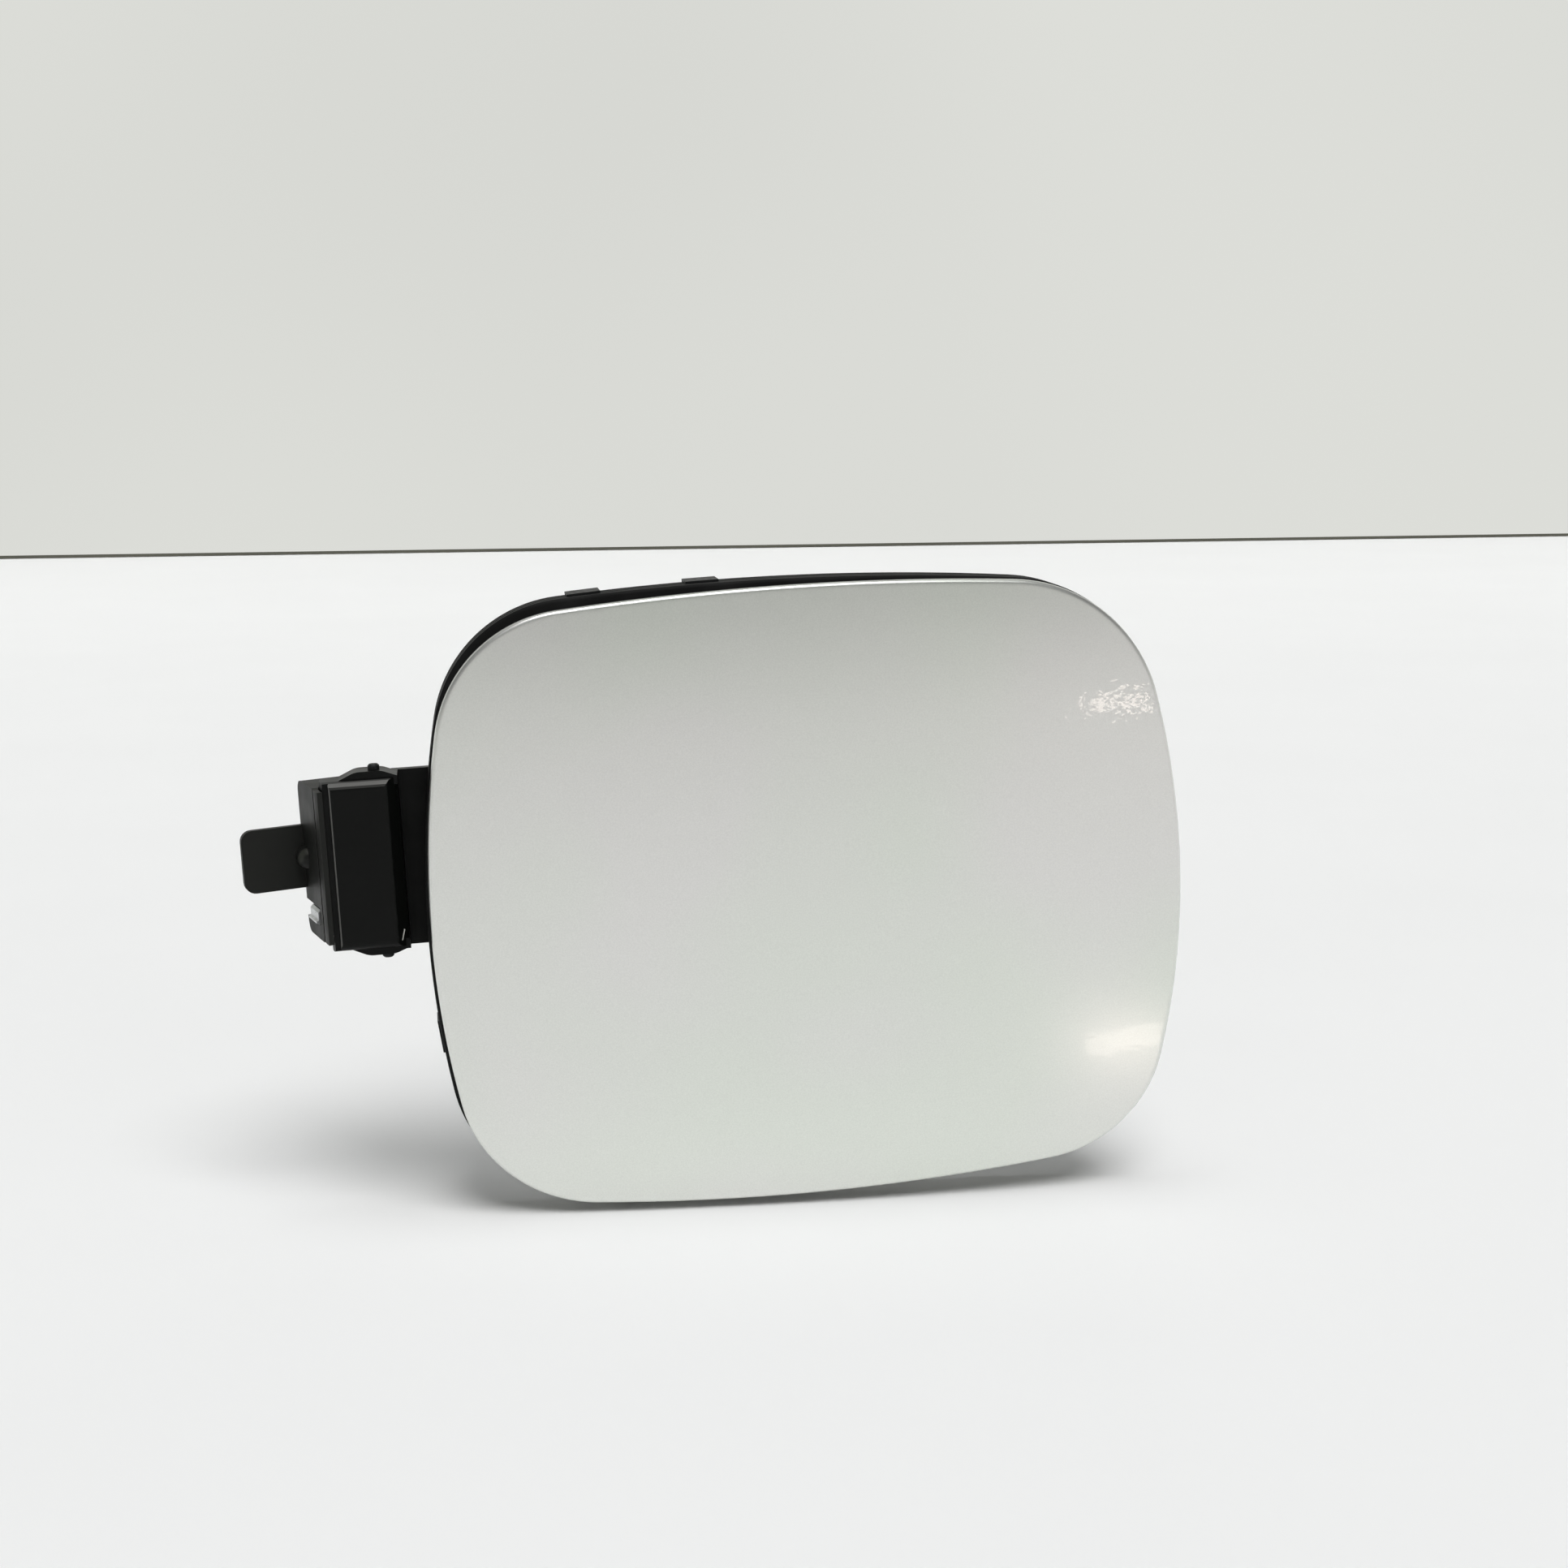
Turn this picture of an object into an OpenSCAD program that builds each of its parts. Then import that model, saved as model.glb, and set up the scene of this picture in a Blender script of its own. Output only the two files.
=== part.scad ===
// Car fuel door: a crowned, painted panel on a moulded gooseneck hinge.
// Millimetres. X runs from the hinge to the latch, Y into the car, Z up.
// The origin is the middle of the hinge base's seat, and the door is shut.

/* [Door panel] */
// Width of the painted panel
panel_w = 184; // [160:1:215]
// Height of the painted panel
panel_h = 151; // [130:1:180]
// Bow of the top edge over the panel's width
bow_top = 6.7; // [3:0.1:12]
// Bow of the bottom edge over the panel's width
bow_bottom = 6.6; // [3:0.1:12]
// Bow of the hinge-side edge over the panel's height
bow_hinge = 12; // [6:0.5:18]
// Bow of the latch-side edge over the panel's height
bow_latch = 13.8; // [6:0.1:18]
// Corner radius, top at the hinge side
corner_top_hinge = 34; // [28:1:44]
// Corner radius, top at the latch side
corner_top_latch = 38; // [28:1:44]
// Corner radius, bottom at the hinge side
corner_bottom_hinge = 34.5; // [28:0.5:44]
// Corner radius, bottom at the latch side
corner_bottom_latch = 32.5; // [28:0.5:44]
// How far the face falls back from its middle to its sides
crown_across = 4; // [1:0.5:6]
// How far the face falls back from its middle to its top and bottom
crown_up = 6; // [2:0.5:7]

/* [Skin] */
// Thickness of the skin
skin_t = 1; // [0.8:0.1:1.6]
// Thickness of the folded rim
rim_t = 3; // [2.6:0.1:3.4]
// Radius of the rim's front edge
rim_r = 1.1; // [0.8:0.1:1.5]
// Width of the hem folded over behind
hem_w = 9; // [6:0.5:12]

/* [Inner carrier] */
// Depth of the carrier's plate behind the face's highest point
plate_depth = 11.4; // [11:0.1:13]
// Thickness of the carrier's plate
plate_t = 2; // [1.6:0.1:3]
// Distance from the outline to the carrier's rim wall
wall_inset = 2.3; // [2:0.1:4]
// Thickness of the carrier's rim wall
wall_t = 2; // [1.6:0.1:3]
// Height of the rim wall behind the plate
wall_h = 7.6; // [5:0.1:10]
// Thickness of a rib
rib_t = 1.6; // [1.2:0.1:2.5]
// Height of a rib
rib_h = 4.5; // [2:0.5:6]
// Sideways set of the carrier against the skin, to the hinge side
frame_shift_x = 0.7; // [0:0.1:1]
// Upward set of the carrier against the skin
frame_shift_z = 1.3; // [0:0.1:1.4]
// Turn of the carrier against the skin, in degrees
frame_turn = 1.1; // [0:0.1:1.2]

/* [Hinge] */
// Distance from the seat to the hinge pin
pivot_x = 16.8; // [16.6:0.1:19]
// Depth of the hinge pin in front of the seat's middle
pivot_front = 7; // [6.5:0.1:8]
// Depth of the hinge pin behind the panel's highest point
pivot_depth = 13; // [12.6:0.1:15]
// Distance from the hinge pin to the panel's hinge-side edge
pivot_to_edge = 10.5; // [10.4:0.1:14]
// Height of the hinge above the panel's middle
hinge_rise = 15.5; // [5:0.5:20]
// Radius of the hinge pin
pin_r = 1.4; // [1.2:0.1:1.7]
// How far the hinge pin stands out of the arm's hubs
pin_out = 1.3; // [0.8:0.1:3]
// Wall of a bush
bush_wall = 0.95; // [0.8:0.05:1]
// Radius of a lug's knuckle
knuckle_r = 3.5; // [3.2:0.1:3.5]

/* [Hinge arm] */
// Half the height of the arm's front shell
shell_half = 20.4; // [20:0.1:22]
// How much the neck is taller than the front shell, above and below
neck_over = 1.2; // [0.8:0.1:2]
// How far the neck's middle lies below the pin's middle
neck_drop = 1.2; // [0:0.1:1.4]
// Thickness of the arm's walls
arm_wall = 1.6; // [1.4:0.1:1.6]
// Thickness of the neck
neck_t = 2.6; // [2:0.1:3]
// Reach of the front shell on the far side of the pin
shell_reach = 11.7; // [10:0.1:11.8]
// Distance from the pin to the shell's front face
face_front = 5.5; // [5.5:0.1:6]
// Distance from the pin to the channel's near wall
channel_x = 5.4; // [5.4:0.1:6]
// Rounding of the shell's top and bottom front edges
bevel_r = 2.2; // [1:0.1:3]
// How far the hubs rise above the front shell
hub_rise = 1.8; // [1.6:0.1:2.8]
// Distance from the pin to the arm's mounting pad
pad_x0 = 20; // [18:0.5:24]
// Width of the arm's mounting pad
pad_w = 36; // [30:1:44]
// Half the height of the arm's mounting pad
pad_half = 17; // [15:0.5:20]
// Thickness of the arm's mounting pad
pad_t = 2.8; // [2.4:0.1:4]

/* [Hinge base] */
// Lean of the seat against the door's plane, in degrees
seat_lean = 15; // [10:1:18]
// Depth of the seat
seat_depth = 16.6; // [14:0.2:16.8]
// Thickness of the base's walls
base_wall = 2.2; // [1.8:0.1:2.4]
// Length of the tongue
tongue_len = 15; // [10:0.5:20]
// Height of the tongue
tongue_h = 15.4; // [10:0.2:18]
// Thickness of the tongue
tongue_t = 1.8; // [1.4:0.1:2.4]
// Radius of the key beside the tongue
key_r = 2.7; // [2:0.1:3]
// How far the key stands out of the seat
key_out = 2.3; // [0.8:0.1:2.5]
// Length of the clip slot, which is open at the seat's deep end
slot_len = 14; // [12:0.1:14.4]
// Height of the clip slot
slot_h = 4.2; // [3:0.1:5]
// Height of the clip slot's middle above the seat's lower end
slot_rise = 5.9; // [5:0.1:8]
// Height of a lug
lug_h = 8.9; // [7:0.1:9]

/* [Latch striker] */
// Radius of the eye for the lock pin
eye_r = 4.2; // [3:0.1:5]
// Wall round the eye
eye_wall = 3.4; // [2.4:0.1:4.4]
// Thickness of the striker's blade
blade_t = 4; // [3:0.1:6]
// Reach of the eye behind the carrier's plate
eye_reach = 16; // [14:0.5:22]
// Distance from the striker's blade to the panel's latch-side edge
striker_inset = 26; // [22:0.5:34]
// Height of the striker above the panel's middle
striker_rise = 8; // [0:0.5:14]

/* [Fasteners and rubber] */
// Radius of a screw's shank
screw_r = 1.9; // [1.5:0.1:2.2]
// Distance from a screw to the edge of the pad that it holds
screw_edge = 6; // [5:0.5:8]
// Radius of a screw's head
screw_head_r = 3.6; // [3:0.1:4.2]
// Height of a screw's head
screw_head_h = 2.2; // [1.6:0.1:3]
// Radius of a bump stop
bump_r = 4.6; // [3.5:0.1:5.5]
// Height of a bump stop behind the carrier's plate
bump_h = 10; // [8:0.5:14]
// Width of an edge clip
clip_w = 8; // [5:0.5:12]
// Thickness of an edge clip
clip_t = 0.5; // [0.4:0.1:1]
// Radius of a foam pad
foam_r = 8; // [5:0.5:10]

/* [Clearances] */
// Running clearance of the pin in its bushes, on the radius
pin_gap = 0.05; // [0.02:0.01:0.1]
// Gap between parts that move past each other
run_gap = 0.3; // [0.2:0.05:0.5]
// Gap between parts that lie on each other
seat_gap = 0.05; // [0.02:0.01:0.1]

/* [Hidden] */
$fn = 48;

// Places of the main parts in the row frame
pivot_y = -pivot_front;
face_y = pivot_y - pivot_depth;
panel_x = pivot_x + pivot_to_edge + panel_w / 2;
panel_z = -hinge_rise;
plate_y0 = face_y + plate_depth;
plate_y1 = plate_y0 + plate_t;
wall_y1 = plate_y1 + wall_h;

// Outline of the panel: four bowed sides and four corner fillets
function bow_radius(chord, bow) = (chord * chord / 4 + bow * bow) / (2 * bow);
r_top = bow_radius(panel_w, bow_top);
r_bottom = bow_radius(panel_w, bow_bottom);
r_hinge = bow_radius(panel_h, bow_hinge);
r_latch = bow_radius(panel_h, bow_latch);
c_top = [0, panel_h / 2 - r_top];
c_bottom = [0, r_bottom - panel_h / 2];
c_hinge = [r_hinge - panel_w / 2, 0];
c_latch = [panel_w / 2 - r_latch, 0];

// The point that lies ra from a and rb from b, on the left of the way from a to b
function meet(a, ra, b, rb) =
    let (d = norm(b - a), u = (b - a) / d, s = (ra * ra - rb * rb + d * d) / (2 * d))
    a + s * u + sqrt(ra * ra - s * s) * [-u[1], u[0]];
function fillet_centre(a, ra, b, rb, r) = meet(a, ra - r, b, rb - r);
f_latch_top = fillet_centre(c_latch, r_latch, c_top, r_top, corner_top_latch);
f_top_hinge = fillet_centre(c_top, r_top, c_hinge, r_hinge, corner_top_hinge);
f_hinge_bottom = fillet_centre(c_hinge, r_hinge, c_bottom, r_bottom, corner_bottom_hinge);
f_bottom_latch = fillet_centre(c_bottom, r_bottom, c_latch, r_latch, corner_bottom_latch);
function heading(v) = atan2(v[1], v[0]);
function onward(from, to) = to < from ? to + 360 : to;
corner_steps = 10;
side_steps = 9;

// A station is the centre, the radius and the angle of one point of the outline
function arc_stations(c, r, a0, a1, steps) = [for (i = [0:steps - 1]) [c, r, a0 + (a1 - a0) * i / steps]];
function corner_then_side(f, r, a, b, rb, f_next) =
    let (
        a0 = heading(f - a),
        a1 = onward(a0, heading(f - b)),
        a2 = onward(a1, heading(f_next - b))
    )
    concat(arc_stations(f, r, a0, a1, corner_steps), arc_stations(b, rb, a1, a2, side_steps));
STATIONS = concat(
    corner_then_side(f_latch_top, corner_top_latch, c_latch, c_top, r_top, f_top_hinge),
    corner_then_side(f_top_hinge, corner_top_hinge, c_top, c_hinge, r_hinge, f_hinge_bottom),
    corner_then_side(f_hinge_bottom, corner_bottom_hinge, c_hinge, c_bottom, r_bottom, f_bottom_latch),
    corner_then_side(f_bottom_latch, corner_bottom_latch, c_bottom, c_latch, r_latch, f_latch_top)
);
RING = len(STATIONS);

// The outline moved inwards, and the same for the carrier, which sits a little askew
function outline(inset) = [for (s = STATIONS) s[0] + (s[1] - inset) * [cos(s[2]), sin(s[2])]];
function askew(p) = [
    p[0] * cos(frame_turn) + p[1] * sin(frame_turn) - frame_shift_x,
    p[1] * cos(frame_turn) - p[0] * sin(frame_turn) + frame_shift_z
];
function carrier_outline(inset) = [for (p = outline(inset)) askew(p)];

// Fall of the crowned face behind its highest point
function fall(p) = crown_across * pow(2 * p[0] / panel_w, 2) + crown_up * pow(2 * p[1] / panel_h, 2);
function on_face(points, back) = [for (p = points) [p[0], fall(p) + back, p[1]]];
function at_depth(points, depth) = [for (p = points) [p[0], depth, p[1]]];
function scaled(points, k) = [for (p = points) p * k];

// Triangles between rings of points that run from the front's middle round to the back's middle
function band_faces(rings, n, closed) = [
    for (i = [0:(closed ? rings - 1 : rings - 2)])
        for (j = [0:n - 1])
            let (a = i * n, b = ((i + 1) % rings) * n, k = (j + 1) % n)
            each [[a + j, b + k, b + j], [a + j, a + k, b + k]]
];
module loft(rings) {
    n = len(rings[0]);
    m = len(rings);
    front = m * n;
    back = front + 1;
    points = concat(
        [for (r = rings) each r],
        [[0, rings[0][0][1] - fall([rings[0][0][0], rings[0][0][2]]), 0]],
        [[0, rings[m - 1][0][1] - fall([rings[m - 1][0][0], rings[m - 1][0][2]]), 0]]
    );
    caps = [for (j = [0:n - 1]) each [
        [front, (j + 1) % n, j],
        [back, (m - 1) * n + j, (m - 1) * n + (j + 1) % n]
    ]];
    polyhedron(points = points, faces = concat(band_faces(m, n, false), caps), convexity = 6);
}
module loft_loop(rings) {
    n = len(rings[0]);
    polyhedron(points = [for (r = rings) each r], faces = band_faces(len(rings), n, true), convexity = 8);
}

// A flat shape drawn in X and Z, given thickness from y0 to y1
module slab(y0, y1) {
    translate([0, y1, 0]) rotate([90, 0, 0]) linear_extrude(y1 - y0) children();
}
// A flat shape drawn in X and Y, given height from z0 to z1
module layer(z0, z1) {
    translate([0, 0, z0]) linear_extrude(z1 - z0) children();
}
// A round boss or hole along Y at p, from y0 to y1
module peg(p, y0, y1, r) {
    translate([p[0], 0, p[1]]) slab(y0, y1) circle(r = r);
}
module at_panel() { translate([panel_x, 0, panel_z]) children(); }
module at_pivot() { translate([pivot_x, pivot_y, 0]) children(); }
module at_seat() { rotate([0, 0, seat_lean]) children(); }

// A polygon whose corners are rounded, each with its own radius
function corner_arc(p, a, b, r, steps) =
    let (
        u = (a - p) / norm(a - p),
        v = (b - p) / norm(b - p),
        half = acos(u * v) / 2,
        c = p + (u + v) / norm(u + v) * r / sin(half),
        t0 = heading(p + u * r / tan(half) - c),
        turn = heading(p + v * r / tan(half) - c) - t0,
        swing = turn > 180 ? turn - 360 : (turn < -180 ? turn + 360 : turn)
    )
    [for (i = [0:steps]) c + r * [cos(t0 + swing * i / steps), sin(t0 + swing * i / steps)]];
function rounded(points, radii, steps = 6) = [
    for (i = [0:len(points) - 1])
        each radii[i] == 0 ? [points[i]] : corner_arc(
            points[i],
            points[(i + len(points) - 1) % len(points)],
            points[(i + 1) % len(points)],
            radii[i],
            steps
        )
];
function box_points(x0, y0, x1, y1) = [[x0, y0], [x1, y0], [x1, y1], [x0, y1]];

// Outer skin: crowned face, rounded rim and folded hem
rim_steps = 4;
skin_core = 12;
module outer_skin() {
    color("lightgray")
    at_panel() translate([0, face_y, 0])
    loft(concat(
        [for (k = [0.3, 0.6, 0.85]) on_face(scaled(outline(skin_core), k), 0)],
        [on_face(outline(skin_core), 0), on_face(outline(5), 0)],
        [for (i = [0:rim_steps])
            on_face(outline(rim_r - rim_r * sin(90 * i / rim_steps)), rim_r - rim_r * cos(90 * i / rim_steps))],
        [on_face(outline(0), rim_t - 0.6), on_face(outline(0.6), rim_t)],
        [on_face(outline(hem_w), rim_t), on_face(outline(hem_w), skin_t)],
        [for (k = [1, 0.85, 0.6, 0.3]) on_face(scaled(outline(skin_core), k), skin_t)]
    ));
}

// Edge seal: an L-section between the hem, the carrier's plate and its rim wall
seal_back = wall_h - 1.2;
module edge_seal() {
    front = rim_t + seat_gap;
    plate = plate_depth - seat_gap;
    back = plate_depth + plate_t + seal_back;
    inner = wall_inset - seat_gap;
    color("black")
    at_panel() translate([0, face_y, 0])
    loft_loop([
        on_face(carrier_outline(hem_w - 1), front),
        on_face(carrier_outline(0.5), front),
        on_face(carrier_outline(0), front + 0.5),
        at_depth(carrier_outline(0), back - 1.2),
        at_depth(carrier_outline(0.5), back),
        at_depth(carrier_outline(inner), back),
        at_depth(carrier_outline(inner), plate),
        at_depth(carrier_outline(hem_w - 1), plate)
    ]);
}

// Screw and bump stop places, from the pivot and from the panel's middle
neck_half = shell_half + neck_over;
pad_y0 = plate_y1 - pivot_y;
arm_screw_places = [
    for (x = [pad_x0 + neck_t + screw_edge * 1.25, pad_x0 + pad_w - screw_edge])
        for (z = [-1, 1] * (pad_half - screw_edge)) [x, z]
];
striker_x = panel_x + panel_w / 2 - striker_inset;
striker_z = panel_z + striker_rise;
striker_foot_w = 2 * screw_edge + 6;
striker_screw_z = eye_r + eye_wall + screw_head_r + 1.3;
striker_foot_half = striker_screw_z + 4.5;
striker_foot_t = 3;
carrier_screw_places = concat(
    [for (p = arm_screw_places) [pivot_x + p[0], p[1]]],
    [for (z = [-1, 1] * striker_screw_z) [striker_x, striker_z + z]]
);
bump_across = 0.326 * panel_w;
bump_up = 0.298 * panel_h;
bump_places = [for (x = [-1, 1], z = [-1, 1]) [x * bump_across, z * bump_up]];
boss_r = 2 * screw_r;
boss_h = 2.3 * plate_t;
bump_stem_r = 0.54 * bump_r;
bump_socket_h = 0.3 * bump_h;

// Inner carrier: plate, rim wall, ribs, screw bosses and bump stop sockets
module carrier_ribs() {
    intersection() {
        slab(plate_y1 - 0.5, plate_y1 + rib_h) polygon(carrier_outline(wall_inset + wall_t / 2));
        union() {
            for (x = [-0.185, 0.1, 0.37] * panel_w)
                translate([x - rib_t / 2, plate_y1 - 1, -panel_h / 2]) cube([rib_t, rib_h + 2, panel_h]);
            for (z = [-0.27, 0.27] * panel_h)
                translate([-panel_w / 2, plate_y1 - 1, z - rib_t / 2]) cube([panel_w, rib_h + 2, rib_t]);
        }
    }
}
module inner_carrier() {
    color("dimgray")
    difference() {
        union() {
            at_panel() {
                slab(plate_y0, plate_y1) polygon(carrier_outline(wall_inset));
                slab(plate_y1 - 0.1, wall_y1) difference() {
                    polygon(carrier_outline(wall_inset));
                    polygon(carrier_outline(wall_inset + wall_t));
                }
                difference() {
                    carrier_ribs();
                    translate([pivot_x - panel_x, 0, hinge_rise]) slab(plate_y1, wall_y1 + 1)
                        polygon(box_points(pad_x0 - 8, -neck_half - 2, pad_x0 + pad_w + 2, neck_half + 2));
                    translate([striker_x - panel_x, 0, striker_rise]) slab(plate_y1, wall_y1 + 1)
                        polygon(box_points(
                            -striker_foot_w / 2 - 2, -striker_foot_half - 2,
                            striker_foot_w / 2 + 2, striker_foot_half + 2
                        ));
                }
                for (p = bump_places) peg(p, plate_y1 - 0.5, plate_y1 + bump_socket_h, bump_r + 1.4);
            }
            for (p = carrier_screw_places) peg(p, plate_y0 - boss_h, plate_y0 + 0.5, boss_r);
        }
        for (p = carrier_screw_places) peg(p, plate_y0 - boss_h + 1, plate_y1 + 1, screw_r + seat_gap);
        at_panel() for (p = bump_places) {
            peg(p, plate_y0 + 0.6, wall_y1, bump_stem_r + seat_gap);
            peg(p, plate_y1 + bump_socket_h - 1.5, wall_y1, bump_r + seat_gap);
        }
    }
}

// Edge clips: U-shaped spring clips over the carrier's rim wall and the seal
module edge_clip(c, r, angle) {
    middle = askew(c);
    outer = seat_gap;
    inner = wall_inset + wall_t + 3 * seat_gap;
    translate([middle[0], 0, middle[1]]) rotate([0, frame_turn - angle, 0]) translate([r, 0, 0]) {
        clip_leaf(outer, outer + clip_t, plate_y0 + 1.5, wall_y1 + seat_gap + clip_t);
        clip_leaf(-inner - clip_t, outer + clip_t, wall_y1 + seat_gap, wall_y1 + seat_gap + clip_t);
        clip_leaf(-inner - clip_t, -inner, plate_y1 + 1.5, wall_y1 + seat_gap + clip_t);
    }
}
module clip_leaf(x0, x1, y0, y1) {
    translate([x0, y0, -clip_w / 2]) cube([x1 - x0, y1 - y0, clip_w]);
}
module edge_clips() {
    color("black")
    at_panel() {
        for (x = [-0.277, -0.123] * panel_w) edge_clip(c_top, r_top, acos(x / r_top));
        for (x = [-0.245, 0.245] * panel_w) edge_clip(c_bottom, r_bottom, -acos(x / r_bottom));
        edge_clip(c_hinge, r_hinge, 180 + asin(0.212 * panel_h / r_hinge));
        for (z = [-0.2, 0.2] * panel_h) edge_clip(c_latch, r_latch, asin(z / r_latch));
    }
}

// Foam pads: between the skin and the carrier's plate
module foam_pads() {
    color("gray")
    at_panel() for (x = [-0.14, 0.14] * panel_w, z = [-0.17, 0.17] * panel_h)
        translate([x, 0, z])
            slab(
                face_y + skin_t + fall([abs(x) + foam_r, abs(z) + foam_r]) + seat_gap,
                plate_y0 - seat_gap
            )
            circle(r = foam_r);
}

// Bump stops: stem in the carrier's socket, tapering rubber head
module bump_stop(i) {
    seat = bump_socket_h - 1.5;
    color("black")
    at_panel() translate([bump_places[i][0], plate_y1, bump_places[i][1]]) rotate([-90, 0, 0])
        rotate_extrude() polygon(concat(
            [[0, -plate_t + 0.8], [bump_stem_r, -plate_t + 0.8], [bump_stem_r, seat + seat_gap]],
            [[bump_r, seat + seat_gap], [bump_r, bump_socket_h + 1.5], [bump_r - 0.9, bump_h - 1.6]],
            [for (a = [0:30:90]) [bump_r - 2.5 + 1.6 * cos(a), bump_h - 1.6 + 1.6 * sin(a)]],
            [[0, bump_h]]
        ));
}
module bump_stop_1() { bump_stop(0); }
module bump_stop_2() { bump_stop(1); }
module bump_stop_3() { bump_stop(2); }
module bump_stop_4() { bump_stop(3); }

// A pan-head screw along Y with its head's underside at y = 0 and its shank towards -Y
module screw(length) {
    difference() {
        rotate([90, 0, 0]) union() {
            cylinder(r = screw_r, h = length - 1);
            translate([0, 0, length - 1]) cylinder(r1 = screw_r, r2 = screw_r - 0.9, h = 1);
            translate([0, 0, -screw_head_h]) cylinder(r1 = screw_head_r - 0.7, r2 = screw_head_r, h = 0.9);
            translate([0, 0, 0.9 - screw_head_h]) cylinder(r = screw_head_r, h = screw_head_h - 0.9);
        }
        translate([0, screw_head_h + 0.1, 0]) rotate([90, 0, 0])
            cylinder(r = screw_r * 0.85, h = 1.4, $fn = 6);
    }
}
module arm_screws() {
    color("silver")
    at_pivot() for (p = arm_screw_places)
        translate([p[0], pad_y0 + pad_t + seat_gap, p[1]]) screw(pad_t + plate_t + boss_h - 1.4);
}
module striker_screws() {
    color("silver")
    for (z = [-1, 1] * striker_screw_z)
        translate([striker_x, plate_y1 + striker_foot_t + seat_gap, striker_z + z])
            screw(striker_foot_t + plate_t + boss_h - 1.4);
}

// Latch striker: a foot on the carrier and a blade with the lock pin's eye
module latch_striker() {
    foot = plate_y1 + seat_gap;
    eye_y = plate_y1 + eye_reach;
    color("dimgray")
    translate([striker_x, 0, striker_z])
    difference() {
        union() {
            slab(foot, foot + striker_foot_t - seat_gap) polygon(rounded(
                box_points(-striker_foot_w / 2, -striker_foot_half, striker_foot_w / 2, striker_foot_half),
                [3, 3, 3, 3]
            ));
            translate([-blade_t / 2, foot + 1, -eye_r - eye_wall])
                cube([blade_t, eye_y - foot - 1, 2 * (eye_r + eye_wall)]);
            translate([-blade_t / 2, eye_y, 0]) rotate([0, 90, 0]) cylinder(r = eye_r + eye_wall, h = blade_t);
            for (z = [-1, 1] * (eye_r + 1.2))
                blade_rib(z);
        }
        translate([-blade_t / 2 - 1, eye_y, 0]) rotate([0, 90, 0]) cylinder(r = eye_r, h = blade_t + 2);
        for (z = [-1, 1] * striker_screw_z)
            translate([0, 0, z]) slab(foot - 1, foot + striker_foot_t + 1) circle(r = screw_r + 0.2);
    }
}
module blade_rib(z) {
    translate([0, plate_y1 + striker_foot_t - 0.5, z]) layer(-0.8, 0.8)
        polygon([
            [-striker_foot_w / 2 + 1, 0], [striker_foot_w / 2 - 1, 0],
            [blade_t / 2, eye_reach / 2], [-blade_t / 2, eye_reach / 2]
        ]);
}

// Hinge pin: chamfered rod pressed into the arm's hubs
module hinge_pin() {
    color("silver")
    at_pivot() rotate_extrude() polygon([
        [0, -pin_half], [pin_r - 0.4, -pin_half], [pin_r, -pin_half + 0.4],
        [pin_r, pin_half - 0.4], [pin_r - 0.4, pin_half], [0, pin_half]
    ]);
}

// Hinge arm: front shell over the pin, channel for the body's edge, neck and mounting pad
neck_y0 = wall_y1 - pivot_y + run_gap;
neck_y1 = neck_y0 + neck_t;
neck_z0 = -neck_half - neck_drop;
neck_z1 = neck_half - neck_drop;
hub_half = shell_half + hub_rise;
pin_half = hub_half + pin_out;
slope_y = -2;
face_x = channel_x - 2.8;
shell_r = norm([shell_reach, face_front]);
shell_end = [for (a = [170:5:200]) shell_r * [cos(a), sin(a)]];
shell_plan = concat(shell_end, rounded(
    [
        [-shell_reach, -face_front], [face_x, -face_front], [channel_x, slope_y],
        [channel_x, neck_y1], [channel_x - arm_wall, neck_y1], [channel_x - arm_wall, 6.5], [-2, 5]
    ],
    [0.7, 1.5, 1.5, 0, 0, 0, 2]
));
hollow_plan = [
    [-30, arm_wall - face_front], [face_x - 0.7, arm_wall - face_front],
    [channel_x - arm_wall, slope_y + 0.5], [channel_x - arm_wall, 30], [-30, 30]
];
module side_view(y0, half, r) {
    rotate([90, 0, 90]) translate([0, 0, -40]) linear_extrude(80)
        polygon(rounded(box_points(y0, -half, 40, half), [r, 0, 0, r]));
}
module shell() {
    difference() {
        intersection() {
            layer(-shell_half, shell_half) polygon(shell_plan);
            side_view(-face_front, shell_half, bevel_r);
        }
        intersection() {
            layer(arm_wall + 0.1 - shell_half, shell_half - arm_wall - 0.1) polygon(hollow_plan);
            side_view(arm_wall - face_front, shell_half - arm_wall - 0.1, max(0.3, bevel_r - arm_wall));
        }
    }
}
module hub(side) {
    low = shell_half - arm_wall - 0.1;
    mirror([0, 0, side < 0 ? 1 : 0])
        slab(-3.1, 4.2) polygon(rounded(
            [
                [0.4 - shell_reach, low], [channel_x, low],
                [channel_x, shell_half + 0.4], [channel_x - 3.6, hub_half], [7.3 - shell_reach, hub_half],
                [3.1 - shell_reach, shell_half - 0.1], [0.4 - shell_reach, shell_half - 0.6]
            ],
            [0, 0, 0, 5, 5, 5, 0]
        ));
}
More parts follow.
